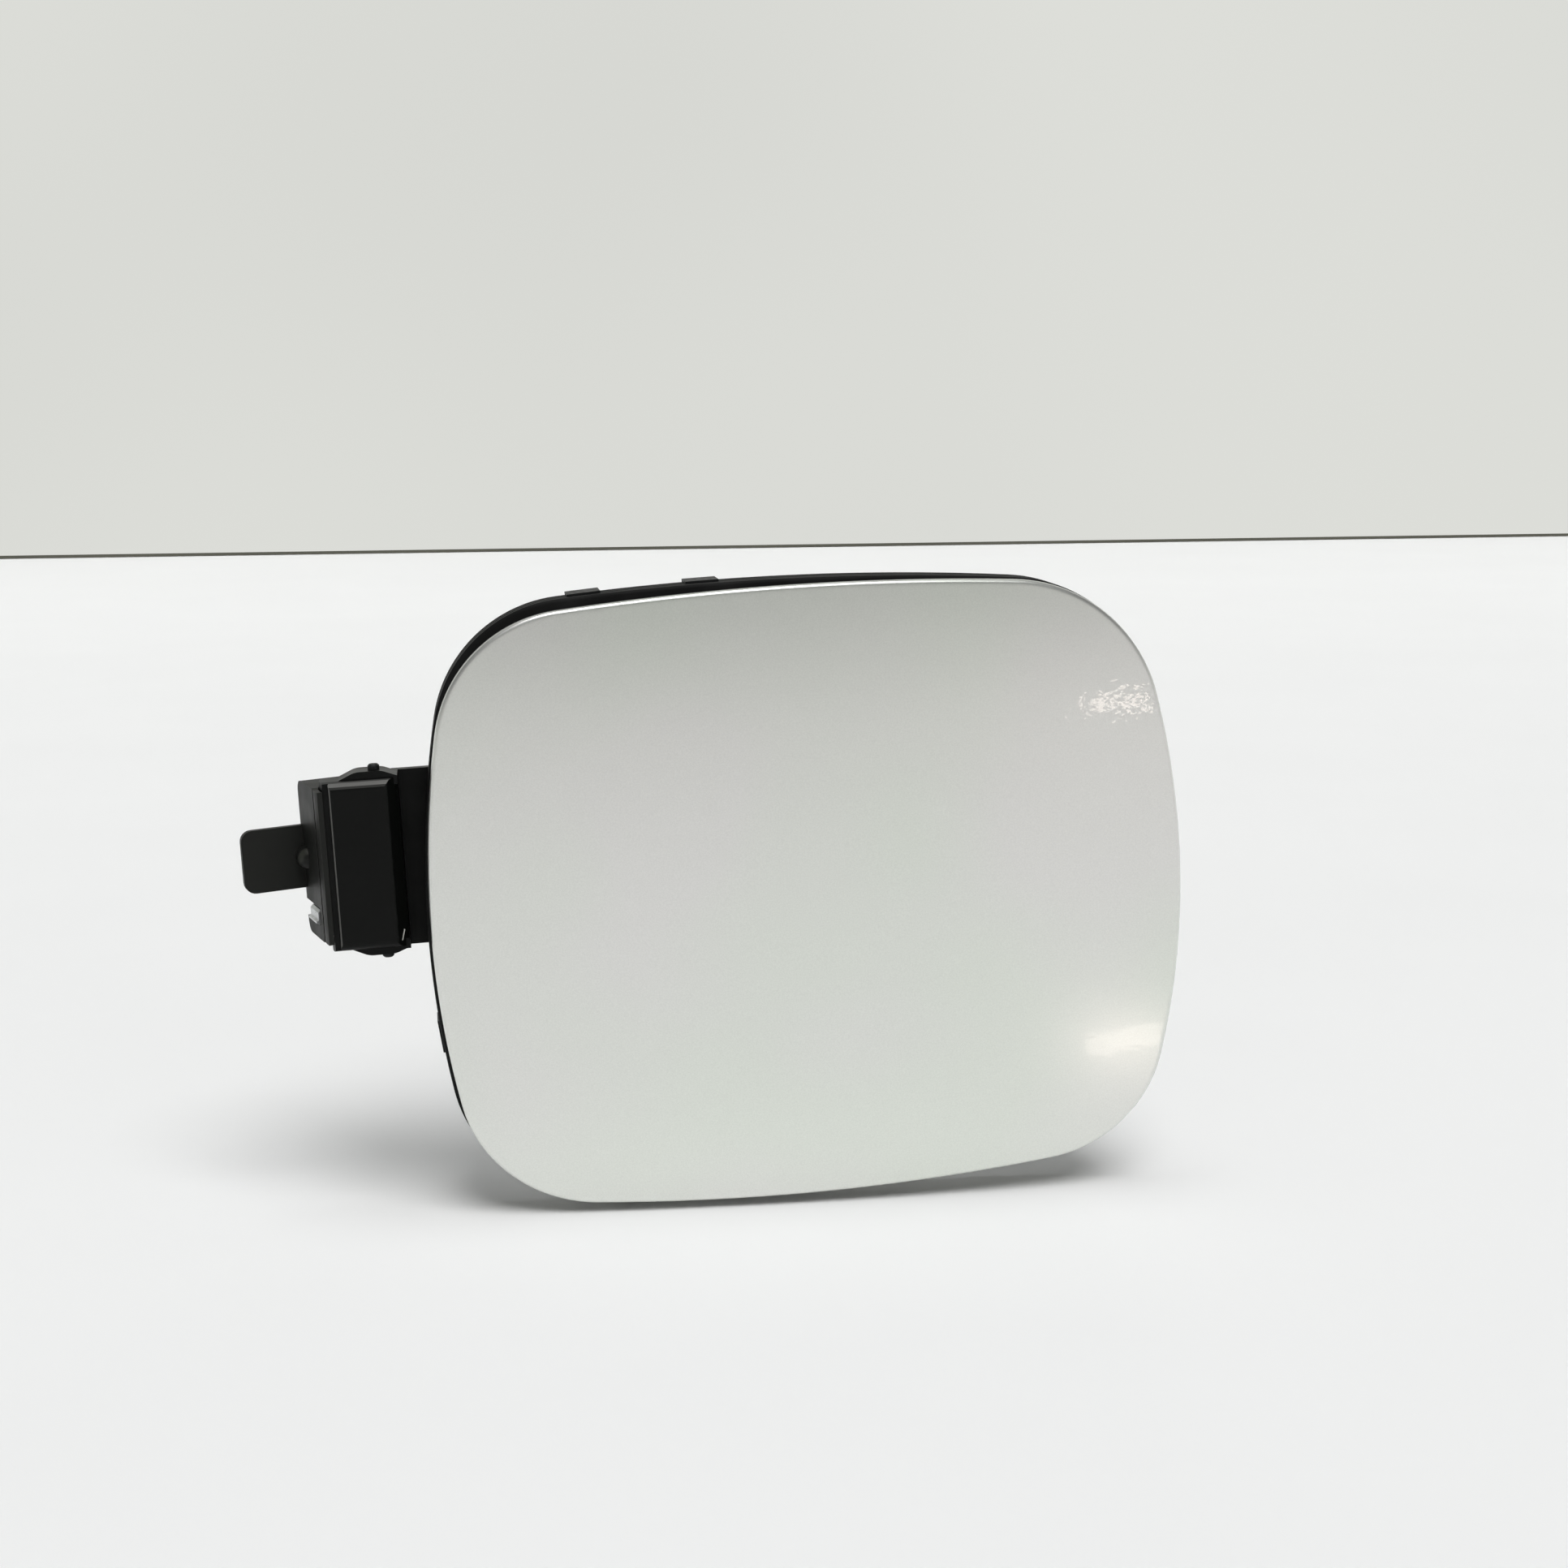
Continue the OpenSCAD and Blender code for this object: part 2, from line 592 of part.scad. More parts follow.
module hinge_arm() {
    color("#202020")
    at_pivot() difference() {
        union() {
            shell();
            hub(1);
            hub(-1);
            // Near wall of the channel, taller than the shell behind the hubs
            layer(neck_z0, neck_z1) polygon(box_points(channel_x - arm_wall, 4, channel_x, neck_y1));
            // Neck, rise and mounting pad
            layer(neck_z0, neck_z1) polygon(rounded(
                box_points(channel_x - arm_wall, neck_y0, pad_x0 + neck_t, neck_y1), [0, 0, 1.8, 0.6]
            ));
            layer(-pad_half, pad_half)
                polygon(box_points(pad_x0, pad_y0 + seat_gap, pad_x0 + neck_t, neck_y0 + 1));
            slab(pad_y0 + seat_gap, pad_y0 + pad_t) polygon(rounded(
                box_points(pad_x0, -pad_half, pad_x0 + pad_w, pad_half), [0, 4, 4, 0]
            ));
            for (z = [-pad_half, -rib_t / 2, pad_half - rib_t])
                translate([0, 0, z]) layer(0, rib_t) polygon([
                    [pad_x0 + 1, neck_y1 - 0.6], [pad_x0 + 1, pad_y0 + 1], [pad_x0 + pad_w - 12, pad_y0 + 1],
                    [pad_x0 + pad_w - 12, pad_y0 + pad_t + 0.8], [pad_x0 + neck_t + 3, neck_y1 - 0.6]
                ]);
        }
        translate([0, 0, -hub_half - 1]) cylinder(r = pin_r, h = 2 * hub_half + 2);
        for (p = arm_screw_places)
            translate([p[0], 0, p[1]]) slab(pad_y0 - 1, pad_y0 + pad_t + 1) circle(r = screw_r + 0.2);
    }
}

// Radius that the arm's shell needs round the pin, the heights of seat and lip, and the lugs' place
seat_half = shell_half - 1.7;
lip_half = seat_half - 0.3;
slot_z = slot_rise - seat_half;
sweep_r = shell_r + run_gap;
lug_top = shell_half - arm_wall - 0.1 - run_gap;
lug_bottom = lug_top - lug_h;
lip_t = 1.3;
back_y0 = neck_y1 + 2.5;
bush_r = pin_r + pin_gap + bush_wall;

// Hinge base: seat wall, back wall and ribs, all rounded to the seat's outline
module base_block() {
    foot_x = -pivot_x - seat_depth / 2 * sin(seat_lean);
    near_x = -pivot_x + seat_depth / 2 * sin(seat_lean);
    intersection() {
        at_seat() rotate([90, 0, 90]) linear_extrude(60) polygon(rounded(
            box_points(-seat_depth / 2, -seat_half, seat_depth / 2, seat_half), [0.8, 3, 3, 0.8]
        ));
        union() {
            at_seat() translate([-1, -seat_depth, -2 * seat_half])
                cube([base_wall + 1, 2 * seat_depth, 4 * seat_half]);
            at_pivot() layer(-2 * seat_half, 2 * seat_half)
                polygon(box_points(foot_x - 2, back_y0, knuckle_r, back_y0 + base_wall));
            for (z = [-seat_half - 2, -seat_half / 2 - rib_t / 2, seat_half / 2 - rib_t / 2, seat_half - rib_t])
                at_pivot() layer(z, z + rib_t + (abs(z) > seat_half * 0.6 ? 2 : 0))
                    polygon([
                        [foot_x - 1, back_y0 + 1], [near_x + 1, 1], [0, 1], [knuckle_r - 0.5, back_y0 + 1]
                    ]);
        }
    }
}
module tongue() {
    at_seat() slab(seat_depth / 2 - tongue_t, seat_depth / 2) polygon(rounded(
        box_points(-tongue_len, -tongue_h / 2, base_wall / 2, tongue_h / 2), [2.7, 0, 0, 2.7]
    ));
}
module key() {
    at_seat() intersection() {
        translate([key_r - key_out, seat_depth / 4, 0]) union() {
            rotate([-90, 0, 0]) cylinder(r = key_r, h = seat_depth / 2);
            sphere(r = key_r);
        }
        translate([-key_out - 1, -seat_depth / 2, -key_r - 1])
            cube([key_out + 2, seat_depth - tongue_t / 2, 2 * key_r + 2]);
    }
}
module base_lip() {
    at_pivot() intersection() {
        layer(-lip_half, lip_half) difference() {
            circle(r = sweep_r + lip_t);
            circle(r = sweep_r);
        }
        layer(-lip_half - 1, lip_half + 1)
            polygon([[0, 0], 30 * [-cos(2), sin(2)], 30 * [-cos(23), -sin(23)]]);
    }
}
module lug(z0) {
    at_pivot() {
        translate([0, 0, z0]) cylinder(r = knuckle_r, h = lug_h);
        layer(z0, z0 + lug_h) polygon(box_points(-knuckle_r, 0, knuckle_r, back_y0 + 0.5));
    }
}
buffer_y0 = 5;
buffer_len = 5;
buffer_h = 5.5;
buffer_z = lug_bottom + 1.7;
module buffer_block(gap, proud) {
    at_pivot() translate([-knuckle_r - proud, buffer_y0 - gap, buffer_z - gap])
        cube([1.6 + proud, buffer_len + 2 * gap, buffer_h + 2 * gap]);
}
module hinge_base() {
    color("#181818")
    difference() {
        union() {
            difference() {
                base_block();
                at_pivot() translate([0, 0, -30]) cylinder(r = sweep_r, h = 60);
            }
            base_lip();
            tongue();
            key();
            lug(lug_bottom);
            lug(-lug_top);
        }
        at_pivot() translate([0, 0, -lug_top - 1]) cylinder(r = bush_r + seat_gap, h = 2 * lug_top + 2);
        at_seat() translate([-1, seat_depth / 2 - slot_len, slot_z - slot_h / 2])
            cube([4, slot_len + 1, slot_h]);
        buffer_block(seat_gap, 1);
    }
}

// Bushes: flanged sleeves in the lugs
module bush(side) {
    mirror([0, 0, side < 0 ? 1 : 0])
    at_pivot() difference() {
        union() {
            translate([0, 0, lug_bottom]) cylinder(r = bush_r, h = lug_h);
            translate([0, 0, lug_bottom - 0.9]) cylinder(r = knuckle_r, h = 0.85);
            translate([0, 0, lug_bottom - 0.1]) cylinder(r = bush_r, h = 0.2);
        }
        translate([0, 0, lug_bottom - 2]) cylinder(r = pin_r + pin_gap, h = lug_h + 4);
    }
}
module bush_upper() { color("ivory") bush(1); }
module bush_lower() { color("ivory") bush(-1); }

// Stop buffer: rubber block let into the upper lug
module stop_buffer() {
    color("black") buffer_block(0, 0.25);
}

// Return spring: wire coil round the pin, one leg on the back wall and one on the shell's front
wire_r = 0.45;
coil_r = 2.7;
coil_turns = 6;
coil_steps = 12;
coil_points = (coil_turns + 0.25) * coil_steps;
coil_half = lug_bottom - 0.9 - wire_r - 0.3;
spring_path = concat(
    [[coil_r, back_y0 - wire_r - seat_gap, -coil_half], [coil_r, 6, -coil_half]],
    [for (i = [0:coil_points])
        let (a = -360 * i / coil_steps)
        [coil_r * cos(a), coil_r * sin(a), coil_half * (2 * i / coil_points - 1)]],
    [[3 - shell_reach, arm_wall - face_front + wire_r + seat_gap, coil_half]]
);
function unit(v) = v / norm(v);
function along(path, i) = unit(path[min(i + 1, len(path) - 1)] - path[max(i - 1, 0)]);
function wire_ring(path, i, r, sides) =
    let (t = along(path, i), u = unit(cross(t, [0.1, 0.05, 1])), v = cross(t, u))
    [for (k = [0:sides - 1]) path[i] + r * (cos(360 * k / sides) * u + sin(360 * k / sides) * v)];
module wire(path, r, sides) {
    n = len(path);
    faces = concat(
        [for (i = [0:n - 2]) for (k = [0:sides - 1])
            let (a = i * sides, b = a + sides, m = (k + 1) % sides)
            each [[a + k, b + k, b + m], [a + k, b + m, a + m]]],
        [[for (k = [0:sides - 1]) k]],
        [[for (k = [sides - 1:-1:0]) (n - 1) * sides + k]]
    );
    polyhedron(points = [for (i = [0:n - 1]) each wire_ring(path, i, r, sides)], faces = faces, convexity = 10);
}
module return_spring() {
    color("silver") at_pivot() wire(spring_path, wire_r, 8);
}

// Retaining clip: folded spring leaf that stands on the slot's floor, its lip proud of the seat
module retaining_clip() {
    leaf_len = 0.6 * slot_len;
    low = slot_z - slot_h / 2 + seat_gap;
    color("silver")
    at_seat() translate([0, seat_depth / 2 - slot_len + 0.6, low]) mirror([0, 1, 0])
        rotate([90, 0, 0]) linear_extrude(leaf_len) polygon([
            [1.9, 0], [-0.3, 0], [-0.9, 0.35], [-0.9, 0.8], [-0.35, 1.1], [-0.35, 2.9], [0.3, 3.5], [1.9, 3.7],
            [1.9, 3.2], [0.5, 3.05], [0.15, 2.7], [0.15, 0.5], [1.9, 0.5]
        ]);
}

hinge_base();
retaining_clip();
bush_upper();
bush_lower();
return_spring();
stop_buffer();
hinge_pin();
hinge_arm();
arm_screws();
outer_skin();
edge_seal();
inner_carrier();
edge_clips();
foam_pads();
latch_striker();
striker_screws();
bump_stop_1();
bump_stop_2();
bump_stop_3();
bump_stop_4();
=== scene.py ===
"""Looks of a car fuel door: painted panel, rubber seal, black mouldings, steel fittings and a pale studio."""

import math

import bpy
from bpy.props import FloatProperty, FloatVectorProperty, PointerProperty
from mathutils import Matrix, Quaternion, Vector


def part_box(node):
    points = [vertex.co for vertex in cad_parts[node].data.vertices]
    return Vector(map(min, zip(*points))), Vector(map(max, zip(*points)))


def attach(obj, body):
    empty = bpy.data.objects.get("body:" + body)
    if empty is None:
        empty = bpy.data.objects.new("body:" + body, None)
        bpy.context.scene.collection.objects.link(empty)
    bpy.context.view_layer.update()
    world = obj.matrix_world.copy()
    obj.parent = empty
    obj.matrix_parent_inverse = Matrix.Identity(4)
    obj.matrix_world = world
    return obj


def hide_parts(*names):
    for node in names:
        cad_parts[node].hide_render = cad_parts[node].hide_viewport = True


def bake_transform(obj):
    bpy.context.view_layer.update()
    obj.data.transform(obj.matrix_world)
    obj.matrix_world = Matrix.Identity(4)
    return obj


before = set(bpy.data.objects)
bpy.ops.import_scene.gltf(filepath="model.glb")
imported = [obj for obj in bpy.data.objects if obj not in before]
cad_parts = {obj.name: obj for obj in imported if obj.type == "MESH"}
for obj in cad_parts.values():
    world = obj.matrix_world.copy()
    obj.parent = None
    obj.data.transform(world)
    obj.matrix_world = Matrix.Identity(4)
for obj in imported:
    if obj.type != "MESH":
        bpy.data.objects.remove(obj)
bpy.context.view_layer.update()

bl_info = {
    "name": "Car fuel door",
    "version": (1, 0, 0),
    "blender": (4, 5, 0),
    "location": "3D View > Sidebar > Fuel door",
    "description": "Builds the looks of a car fuel door on its hinge",
    "category": "Object",
}

MM = 0.001
SKIN_LOW, SKIN_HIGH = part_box("outer_skin")


def hex_colour(code):
    """Linear red, green and blue of an sRGB hex value."""
    parts = [int(code[i : i + 2], 16) / 255 for i in (0, 2, 4)]
    return tuple(v / 12.92 if v <= 0.04045 else ((v + 0.055) / 1.055) ** 2.4 for v in parts)


def length(name, words, default):
    """A length property, in metres."""
    return FloatProperty(name=name, description=words, default=default, min=0, unit="LENGTH", precision=5)


def angle(name, words, degrees):
    """An angle property."""
    return FloatProperty(name=name, description=words, default=math.radians(degrees), subtype="ANGLE")


def colour(name, words, code):
    """A colour property with an sRGB hex default."""
    settings = {"default": hex_colour(code), "size": 3, "min": 0, "max": 1, "subtype": "COLOR"}
    return FloatVectorProperty(name=name, description=words, **settings)


class FuelDoorSizes(bpy.types.PropertyGroup):
    """Sizes of the painted panel and of the seal behind it."""

    width: length("Width", "Width of the painted panel", 184 * MM)
    height: length("Height", "Height of the painted panel", 151 * MM)
    bow_top: length("Top bow", "Bow of the top edge", 6.7 * MM)
    bow_bottom: length("Bottom bow", "Bow of the bottom edge", 6.6 * MM)
    bow_hinge: length("Hinge-side bow", "Bow of the hinge-side edge", 12 * MM)
    bow_latch: length("Latch-side bow", "Bow of the latch-side edge", 13.8 * MM)
    corner_top_hinge: length("Top corner at the hinge", "Corner radius", 34 * MM)
    corner_top_latch: length("Top corner at the latch", "Corner radius", 38 * MM)
    corner_bottom_hinge: length("Bottom corner at the hinge", "Corner radius", 34.5 * MM)
    corner_bottom_latch: length("Bottom corner at the latch", "Corner radius", 32.5 * MM)
    crown_across: length("Crown across", "Fall of the face from its middle to its sides", 4 * MM)
    crown_up: length("Crown up", "Fall of the face from its middle to its top and bottom", 6 * MM)
    rim_radius: length("Rim radius", "Radius of the rim's front edge", 1.1 * MM)
    rim_depth: length("Rim depth", "Thickness of the folded rim", 3 * MM)
    fold_radius: length("Fold radius", "Radius of the fold at the rim's back edge", 0.7 * MM)
    skin: length("Skin", "Thickness of the sheet", 1 * MM)
    hem: length("Hem", "Width of the fold behind the rim", 9 * MM)
    seal_wall: length("Seal wall", "Thickness of the seal's side", 2.25 * MM)
    seal_lip: length("Seal lip", "Width of the seal between hem and carrier", 8 * MM)
    seal_play: length("Seal play", "Gap between the seal and what it lies against", 0.05 * MM)
    plate_depth: length("Plate depth", "Depth of the carrier's plate behind the panel's middle", 11.4 * MM)
    seal_depth: length("Seal depth", "Depth of the seal's back behind the panel's middle", 19.8 * MM)
    frame_shift_x: length("Frame set sideways", "Sideways set of the seal against the skin", 0.7 * MM)
    frame_shift_z: length("Frame set upwards", "Upward set of the seal against the skin", 1.3 * MM)
    frame_turn: angle("Frame turn", "Turn of the seal against the skin", 1.1)


class FuelDoorColours(bpy.types.PropertyGroup):
    """Colours of the finishes."""

    paint: colour("Paint", "Silver-white basecoat", "E2E3DD")
    black: colour("Black mouldings", "Mass-coloured black plastic of the arm", "080908")
    base: colour("Hinge base", "Mass-coloured black plastic of the base", "1C1D1B")
    carrier: colour("Carrier", "Mass-coloured black plastic of carrier and striker", "1A1B1B")
    rubber: colour("Rubber", "Carbon-black rubber", "080808")
    zinc: colour("Zinc", "Zinc-plated steel", "C9CBCC")
    phosphate: colour("Phosphate", "Black phosphated spring steel", "1E1F20")
    acetal: colour("Acetal", "Natural acetal", "DCD6C4")
    foam: colour("Foam", "Grey closed-cell foam", "58595A")
    table: colour("Table", "White laminate", "F3F4F4")
    wall: colour("Wall", "Pale painted wall", "DDDED9")


def sizes():
    return bpy.context.scene.fuel_door_sizes


def colours():
    return bpy.context.scene.fuel_door_colours


# Outline of the panel: four bowed sides joined by corner fillets

CORNER_STEPS = 26
SIDE_STEPS = 34


def bow_radius(chord, bow):
    """Radius of an arc from its chord and its bow."""
    return (chord * chord / 4 + bow * bow) / (2 * bow)


def meet(a, ra, b, rb):
    """The point that lies ra from a and rb from b, on the left of the way from a to b."""
    d = (b - a).length
    u = (b - a) / d
    s = (ra * ra - rb * rb + d * d) / (2 * d)
    return a + s * u + math.sqrt(ra * ra - s * s) * Vector((-u.y, u.x))


def stations():
    """Centre, radius and angle of each point of the outline, anticlockwise as seen from the front."""
    p = sizes()
    sides = {
        "top": (p.width, p.bow_top, Vector((0, 1)), p.height),
        "hinge": (p.height, p.bow_hinge, Vector((-1, 0)), p.width),
        "bottom": (p.width, p.bow_bottom, Vector((0, -1)), p.height),
        "latch": (p.height, p.bow_latch, Vector((1, 0)), p.width),
    }
    arcs = {}
    for name, (chord, bow, way, across) in sides.items():
        radius = bow_radius(chord, bow)
        arcs[name] = ((across / 2 - radius) * way, radius)
    order = [
        ("latch", "top", p.corner_top_latch),
        ("top", "hinge", p.corner_top_hinge),
        ("hinge", "bottom", p.corner_bottom_hinge),
        ("bottom", "latch", p.corner_bottom_latch),
    ]
    fillets = [meet(arcs[a][0], arcs[a][1] - r, arcs[b][0], arcs[b][1] - r) for a, b, r in order]
    made = []
    for i, (a, b, r) in enumerate(order):
        centre, (side, side_r) = fillets[i], arcs[b]
        ways = (centre - arcs[a][0], centre - side, fillets[(i + 1) % 4] - side)
        turns = [math.atan2(v.y, v.x) for v in ways]
        for k in (1, 2):
            while turns[k] < turns[k - 1]:
                turns[k] += 2 * math.pi
        corner, bow = turns[1] - turns[0], turns[2] - turns[1]
        made += [(centre, r, turns[0] + corner * k / CORNER_STEPS) for k in range(CORNER_STEPS)]
        made += [(side, side_r, turns[1] + bow * k / SIDE_STEPS) for k in range(SIDE_STEPS)]
    return made


def outline(places, inset):
    """The outline moved inwards."""
    return [c + (r - inset) * Vector((math.cos(t), math.sin(t))) for c, r, t in places]


def askew(points):
    """Points of the seal's outline, which sits a little askew behind the skin."""
    p = sizes()
    c, s = math.cos(p.frame_turn), math.sin(p.frame_turn)
    shift = Vector((-p.frame_shift_x, p.frame_shift_z))
    return [Vector((v.x * c + v.y * s, v.y * c - v.x * s)) + shift for v in points]


def fall(v):
    """How far the crowned face lies behind its highest point."""
    p = sizes()
    return p.crown_across * (2 * v.x / p.width) ** 2 + p.crown_up * (2 * v.y / p.height) ** 2


def in_row(v, depth):
    """A point of the panel, seen from the front, in the row frame."""
    middle = (SKIN_LOW.x + SKIN_HIGH.x) / 2
    return (v.x + middle, depth + SKIN_LOW.y, v.y + SKIN_LOW.z + sizes().height / 2)


def lofted(name, rings, closed):
    """A mesh through rings of points. A closed one joins its last ring to its first, others get end faces."""
    n = len(rings[0])
    faces = []
    for i in range(len(rings) - (0 if closed else 1)):
        a, b = i * n, (i + 1) % len(rings) * n
        faces += [(a + j, b + j, b + (j + 1) % n, a + (j + 1) % n) for j in range(n)]
    if not closed:
        last = (len(rings) - 1) * n
        faces += [tuple(range(n)), tuple(last + n - 1 - j for j in range(n))]
    mesh = bpy.data.meshes.new(name)
    mesh.from_pydata([v for ring in rings for v in ring], [], faces)
    mesh.validate()
    mesh.update()
    piece = bpy.data.objects.new(name, mesh)
    bpy.context.scene.collection.objects.link(piece)
    mesh.polygons.foreach_set("use_smooth", [True] * len(mesh.polygons))
    mesh.set_sharp_from_angle(angle=math.radians(32))
    return piece


# Material nodes


def add_node(tree, kind, links=None, **settings):
    """Adds a node, sets its properties and plain inputs, and links named inputs to other nodes' outputs."""
    made = tree.nodes.new(kind)
    for key, value in settings.items():
        if hasattr(made, key):
            setattr(made, key, value)
        else:
            made.inputs[key.replace("_", " ")].default_value = value
    for key, source in (links or {}).items():
        tree.links.new(source, made.inputs[key])
    return made


def new_material(name):
    """An empty node material with its output node, and the object's own coordinates in metres."""
    made = bpy.data.materials.new(name)
    made.use_nodes = True
    tree = made.node_tree
    tree.nodes.clear()
    end = add_node(tree, "ShaderNodeOutputMaterial")
    place = add_node(tree, "ShaderNodeTexCoord").outputs["Object"]
    return made, tree, end, place


def per_mm(size):
    """Scale of a noise whose grain is that many millimetres."""
    return 1 / (size * MM)


def rgba(value):
    return (*value, 1)


def scaled(base, *factors):
    """A colour times one factor, or times one for each of its parts."""
    factors = factors if len(factors) == 3 else factors * 3
    return [value * factor for value, factor in zip(base, factors)]


def noise(tree, place, size, detail):
    """Noise whose grain is that many millimetres."""
    made = add_node(tree, "ShaderNodeTexNoise", {"Vector": place}, Scale=per_mm(size), Detail=detail)
    return made.outputs["Fac"]


def tone_between(tree, factor, low, first, high, last):
    """A ramp from the first colour at low to the last at high."""
    made = add_node(tree, "ShaderNodeValToRGB", {"Fac": factor})
    start, finish = made.color_ramp.elements
    start.position, start.color = low, rgba(first)
    finish.position, finish.color = high, rgba(last)
    return made


def spread(tree, value, low, high):
    """Maps the middle of a noise, from 0.3 to 0.7, to the range from low to high."""
    ends = {"From_Min": 0.3, "From_Max": 0.7, "To_Min": low, "To_Max": high}
    return add_node(tree, "ShaderNodeMapRange", {"Value": value}, **ends).outputs["Result"]


def relief(tree, height, strength, depth):
    """Normal of a bump that is that many millimetres deep."""
    made = add_node(tree, "ShaderNodeBump", {"Height": height}, Strength=strength, Distance=depth * MM)
    return made.outputs["Normal"]


def less_than(tree, value, limit):
    """1 where the value is below the limit."""
    made = add_node(tree, "ShaderNodeMath", {0: value}, operation="LESS_THAN")
    made.inputs[1].default_value = limit
    return made.outputs[0]


def specks(tree, place, spacing, share):
    """Mask of round specks, one in each cell of space; share is a speck's radius over the cell's width."""
    cells = add_node(tree, "ShaderNodeTexVoronoi", {"Vector": place}, Scale=per_mm(spacing))
    return less_than(tree, cells.outputs["Distance"], share)


def laid_over(tree, mask, under, code):
    """A colour laid over another, which is a plain colour or a node's output, where the mask is 1."""
    made = add_node(tree, "ShaderNodeMix", {"Factor": mask}, data_type="RGBA")
    if isinstance(under, bpy.types.NodeSocket):
        tree.links.new(under, made.inputs[6])
    else:
        made.inputs[6].default_value = rgba(under)
    made.inputs[7].default_value = rgba(hex_colour(code))
    return made.outputs[2]


def surface(tree, end, links, **settings):
    """The shader of a material, joined to its output node."""
    shader = add_node(tree, "ShaderNodeBsdfPrincipled", links, **settings)
    tree.links.new(shader.outputs[0], end.inputs[0])


# Materials


def clearcoat_paint():
    """Silver-white basecoat sprayed on steel under a 2K clearcoat: metallic sheen below a sharp gloss."""
    made, tree, end, place = new_material("clearcoated_silver_white_sprayed")
    base = colours().paint
    # Flakes are about 0.03 mm, drawn at 0.35 mm so that they show
    flakes = noise(tree, place, 0.35, 2.0)
    # Faint cool and warm clouding over some 60 mm, as the basecoat lies
    cloud = noise(tree, place, 60, 1.0)
    cool, warm = scaled(base, 0.97, 1, 0.985), scaled(base, 1, 0.985, 1.02)
    tint = tone_between(tree, cloud, 0.35, cool, 0.65, warm).outputs["Color"]
    grain = spread(tree, flakes, 0.965, 1.035)
    flaked = add_node(tree, "ShaderNodeVectorMath", {0: tint, 1: grain}, operation="MULTIPLY")
    # Dust that settled on the paint: a few grey specks up to 0.6 mm across
    dusty = laid_over(tree, specks(tree, place, 26, 0.012), flaked.outputs[0], "8C8B86")
    # Orange peel: ripples 2.4 mm apart in the clearcoat
    ripple = relief(tree, noise(tree, place, 2.4, 2.0), 0.9, 0.05)
    surface(
        tree,
        end,
        {"Base Color": dusty, "Coat Normal": ripple},
        Metallic=0.85,
        Roughness=0.36,
        Coat_Weight=1.0,
        Coat_Roughness=0.02,
        Coat_IOR=1.5,
    )
    return made


def painted_edge_highlight(tree):
    """Mask of a painted highlight on rounded edges that look up or left and aslant to the front, told by the
    piece's own normal.
    """
    own = add_node(tree, "ShaderNodeTexCoord")
    split = add_node(tree, "ShaderNodeSeparateXYZ", {0: own.outputs["Normal"]})
    forward = add_node(tree, "ShaderNodeMath", {0: split.outputs["Y"]}, operation="ABSOLUTE")
    black, white = (0, 0, 0), (1, 1, 1)
    between = tone_between(tree, forward.outputs[0], 0.3, black, 0.5, white)
    between.color_ramp.elements.new(0.86).color = rgba(white)
    between.color_ramp.elements.new(0.96).color = rgba(black)
    ways = {0: split.outputs["Z"], 1: split.outputs["X"]}
    outer = add_node(tree, "ShaderNodeMath", ways, operation="SUBTRACT")
    ends = {"From_Min": 0.15, "From_Max": 0.45}
    shown = add_node(tree, "ShaderNodeMapRange", {"Value": outer.outputs[0]}, **ends)
    both = {0: between.outputs["Color"], 1: shown.outputs["Result"]}
    return add_node(tree, "ShaderNodeMath", both, operation="MULTIPLY").outputs[0]


def scratch_line(tree, place, start, finish, half_width):
    """Mask of a scratch: what lies within its half-width of the line from start to finish."""
    a, b = Vector(start), Vector(finish)
    way = (b - a).normalized()
    off = add_node(tree, "ShaderNodeVectorMath", {0: place}, operation="SUBTRACT")
    off.inputs[1].default_value = a
    run = add_node(tree, "ShaderNodeVectorMath", {0: off.outputs[0]}, operation="DOT_PRODUCT")
    run.inputs[1].default_value = way
    held = add_node(tree, "ShaderNodeClamp", {"Value": run.outputs["Value"]}, Min=0.0, Max=(b - a).length)
    foot = add_node(tree, "ShaderNodeVectorMath", {"Scale": held.outputs[0]}, operation="SCALE")
    foot.inputs[0].default_value = way
    ends = {0: off.outputs[0], 1: foot.outputs[0]}
    gap = add_node(tree, "ShaderNodeVectorMath", ends, operation="DISTANCE")
    return less_than(tree, gap.outputs["Value"], half_width)


def moulded_plastic(name, base, grain, depth, rough, level, edge=None, scratches=()):
    """Injection-moulded black plastic: mass colour, fine spark-eroded grain, rubbed patches and pale dust.

    Grain and depth are in millimetres. A painted highlight that makes edges paler, and scratches, are made
    where they are given.
    """
    made, tree, end, place = new_material(name)
    bump = relief(tree, noise(tree, place, grain, 3.0), 0.6, depth)
    gloss = spread(tree, noise(tree, place, 9, 2.0), rough - 0.06, rough + 0.06)
    # Specks of dust up to 0.4 mm across
    tone = laid_over(tree, specks(tree, place, 9, 0.022), base, "4A4A48")
    if edge:
        # Painted highlight: edges that look up or left get the paler edge colour.
        tone = laid_over(tree, painted_edge_highlight(tree), tone, edge)
    for start, finish, half_width, code in scratches:
        tone = laid_over(tree, scratch_line(tree, place, start, finish, half_width), tone, code)
    surface(tree, end, {"Base Color": tone, "Roughness": gloss, "Normal": bump}, Specular_IOR_Level=level)
    return made


def carbon_black_rubber(name, grain):
    """EPDM or NBR rubber, extruded or moulded: matt carbon black with a faint grey bloom."""
    made, tree, end, place = new_material(name)
    base = colours().rubber
    bloomed = [value * 2 + 0.002 for value in base]
    tone = tone_between(tree, noise(tree, place, 12, 3.0), 0.4, base, 0.75, bloomed)
    bump = relief(tree, noise(tree, place, grain, 2.0), 0.5, 0.04)
    links = {"Base Color": tone.outputs["Color"], "Normal": bump}
    surface(tree, end, links, Roughness=0.6, Specular_IOR_Level=0.15)
    return made


